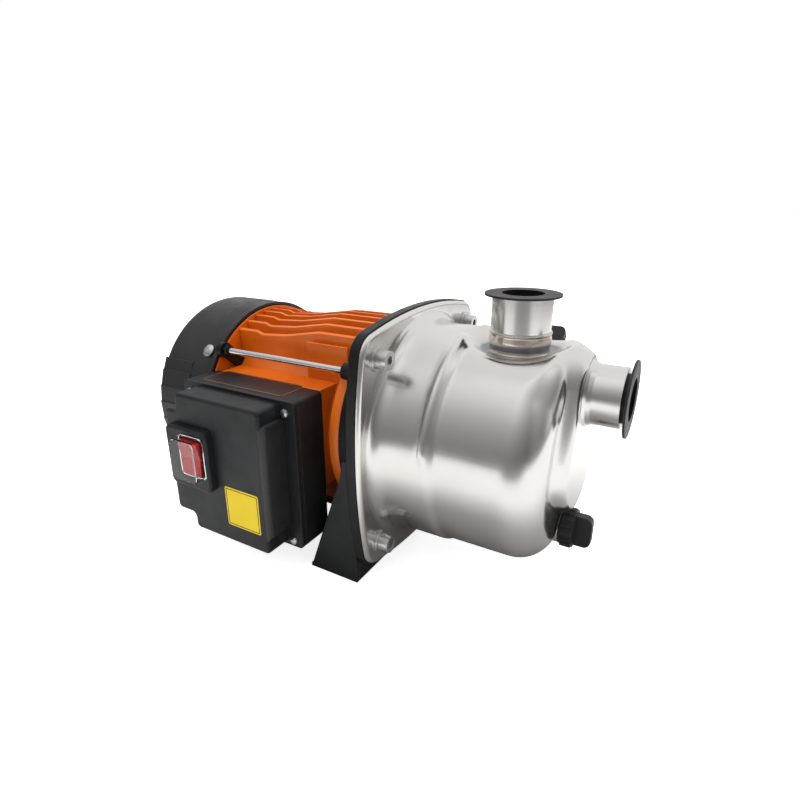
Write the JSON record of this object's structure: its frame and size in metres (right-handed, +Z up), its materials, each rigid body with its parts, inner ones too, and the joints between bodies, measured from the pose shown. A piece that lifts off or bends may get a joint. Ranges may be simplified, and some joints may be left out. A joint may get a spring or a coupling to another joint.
{
  "type": "garden jet pump",
  "caption": "Electric self-priming jet pump: finned motor, steel casing with front inlet and top outlet, screw plugs, terminal box and foot.",
  "frame": {"origin": "on the ground under the motor axis, at the front bracket", "axes": "+X along the motor axis towards the pump head, -Y towards the terminal box, +Z up"},
  "size_m": [0.37, 0.2305, 0.2118],
  "materials": {
    "polished_steel": "polished stainless sheet",
    "cap_rubber": "matt moulded rubber",
    "plug_plastic": "black moulded",
    "seal_rubber": "black rubber",
    "zinc_bolt": "bright zinc",
    "black_casting": "satin black paint",
    "black_plastic": "fine matt grain",
    "orange_paint": "satin powder coat",
    "core_steel": "stacked sheet",
    "winding_copper": "varnished copper",
    "shaft_steel": "ground steel",
    "chrome_rod": "bright plated",
    "cover_plastic": "matt ribbed",
    "clear_boot": "clear soft boot",
    "red_rocker": "gloss red",
    "capacitor_shell": "off-white can",
    "block_plastic": "ivory",
    "seal_ceramic": "fired ceramic, stated as matte plastic",
    "wheel_plastic": "glass-filled moulding"
  },
  "bodies": {
    "frame": {"pump_casing": "polished_steel", "outlet_socket": "polished_steel", "inlet_socket": "polished_steel", "drain_boss": "polished_steel", "filler_boss": "polished_steel", "casing_screws": "zinc_bolt", "casing_washers": "zinc_bolt", "casing_nuts": "zinc_bolt", "front_bracket": "black_casting", "foot_stand": "black_plastic", "rear_support": "black_plastic", "motor_housing": "orange_paint", "stator_core": "core_steel", "stator_windings": "winding_copper", "front_bearing_outer": "shaft_steel", "rear_bearing_outer": "shaft_steel", "rear_endshield": "black_casting", "tie_rods": "chrome_rod", "tie_rod_nuts": "black_casting", "fan_cover": "cover_plastic", "terminal_box_base": "black_plastic", "terminal_box_cover": "black_plastic", "terminal_box_gasket": "seal_rubber", "switch_frame": "black_plastic", "switch_boot": "clear_boot", "run_capacitor": "capacitor_shell", "terminal_block": "block_plastic", "cable_gland": "black_plastic", "fan_cover_screws": "zinc_bolt", "cover_screws": "zinc_bolt", "seal_plate": "polished_steel", "casing_gasket": "seal_rubber", "seal_seat": "seal_ceramic", "diffuser": "wheel_plastic", "venturi": "wheel_plastic", "jet_nozzle": "wheel_plastic", "suction_chamber": "wheel_plastic"},
    "rotor": {"rotor_core": "core_steel", "motor_shaft": "shaft_steel", "front_bearing_inner": "shaft_steel", "rear_bearing_inner": "shaft_steel", "cooling_fan": "black_plastic", "fan_clip": "shaft_steel", "seal_head": "seal_rubber", "seal_spring": "shaft_steel", "impeller": "wheel_plastic", "impeller_nut": "shaft_steel"},
    "rocker": {"switch_rocker": "red_rocker"},
    "outlet_cover": {"outlet_cap": "cap_rubber"},
    "inlet_cover": {"inlet_cap": "cap_rubber"},
    "drain_ring": {"drain_seal": "seal_rubber"},
    "drain_screw": {"drain_plug": "plug_plastic"},
    "filler_ring": {"filler_seal": "seal_rubber"},
    "filler_screw": {"filler_plug": "plug_plastic"}
  },
  "joints": [
    {"name": "rotor_spin", "type": "hinge", "parent": "frame", "child": "rotor", "pos_m": [0, 0, 0.102], "axis": [1, 0, 0], "continuous": true},
    {"name": "rocker_tilt", "type": "hinge", "parent": "frame", "child": "rocker", "pos_m": [-0.113, -0.125, 0.093], "axis": [-1, 0, 0], "range_deg": [0, 8.3]},
    {"name": "outlet_cap_pull", "type": "slide", "parent": "frame", "child": "outlet_cover", "axis": [0, 0, 1], "range_m": [0, 0.06]},
    {"name": "inlet_cap_pull", "type": "slide", "parent": "frame", "child": "inlet_cover", "axis": [1, 0, 0], "range_m": [0, 0.06]},
    {"name": "drain_rise", "type": "slide", "parent": "frame", "child": "drain_ring", "axis": [1, 0, 0], "range_m": [0, 0.0091]},
    {"name": "drain_turn", "type": "hinge", "parent": "drain_ring", "child": "drain_screw", "pos_m": [0.14, 0, 0.044], "axis": [1, 0, 0], "range_deg": [0, 1800]},
    {"name": "filler_rise", "type": "slide", "parent": "frame", "child": "filler_ring", "axis": [0, 0.7071, 0.7071], "range_m": [0, 0.0091]},
    {"name": "filler_turn", "type": "hinge", "parent": "filler_ring", "child": "filler_screw", "pos_m": [0.09, 0, 0.102], "axis": [0, 0.7071, 0.7071], "range_deg": [0, 1800]}
  ],
  "couplings": [
    {"joint": "drain_rise", "follows": "drain_turn", "m_per_rad": 0.00028871},
    {"joint": "filler_rise", "follows": "filler_turn", "m_per_rad": 0.00028871}
  ]
}
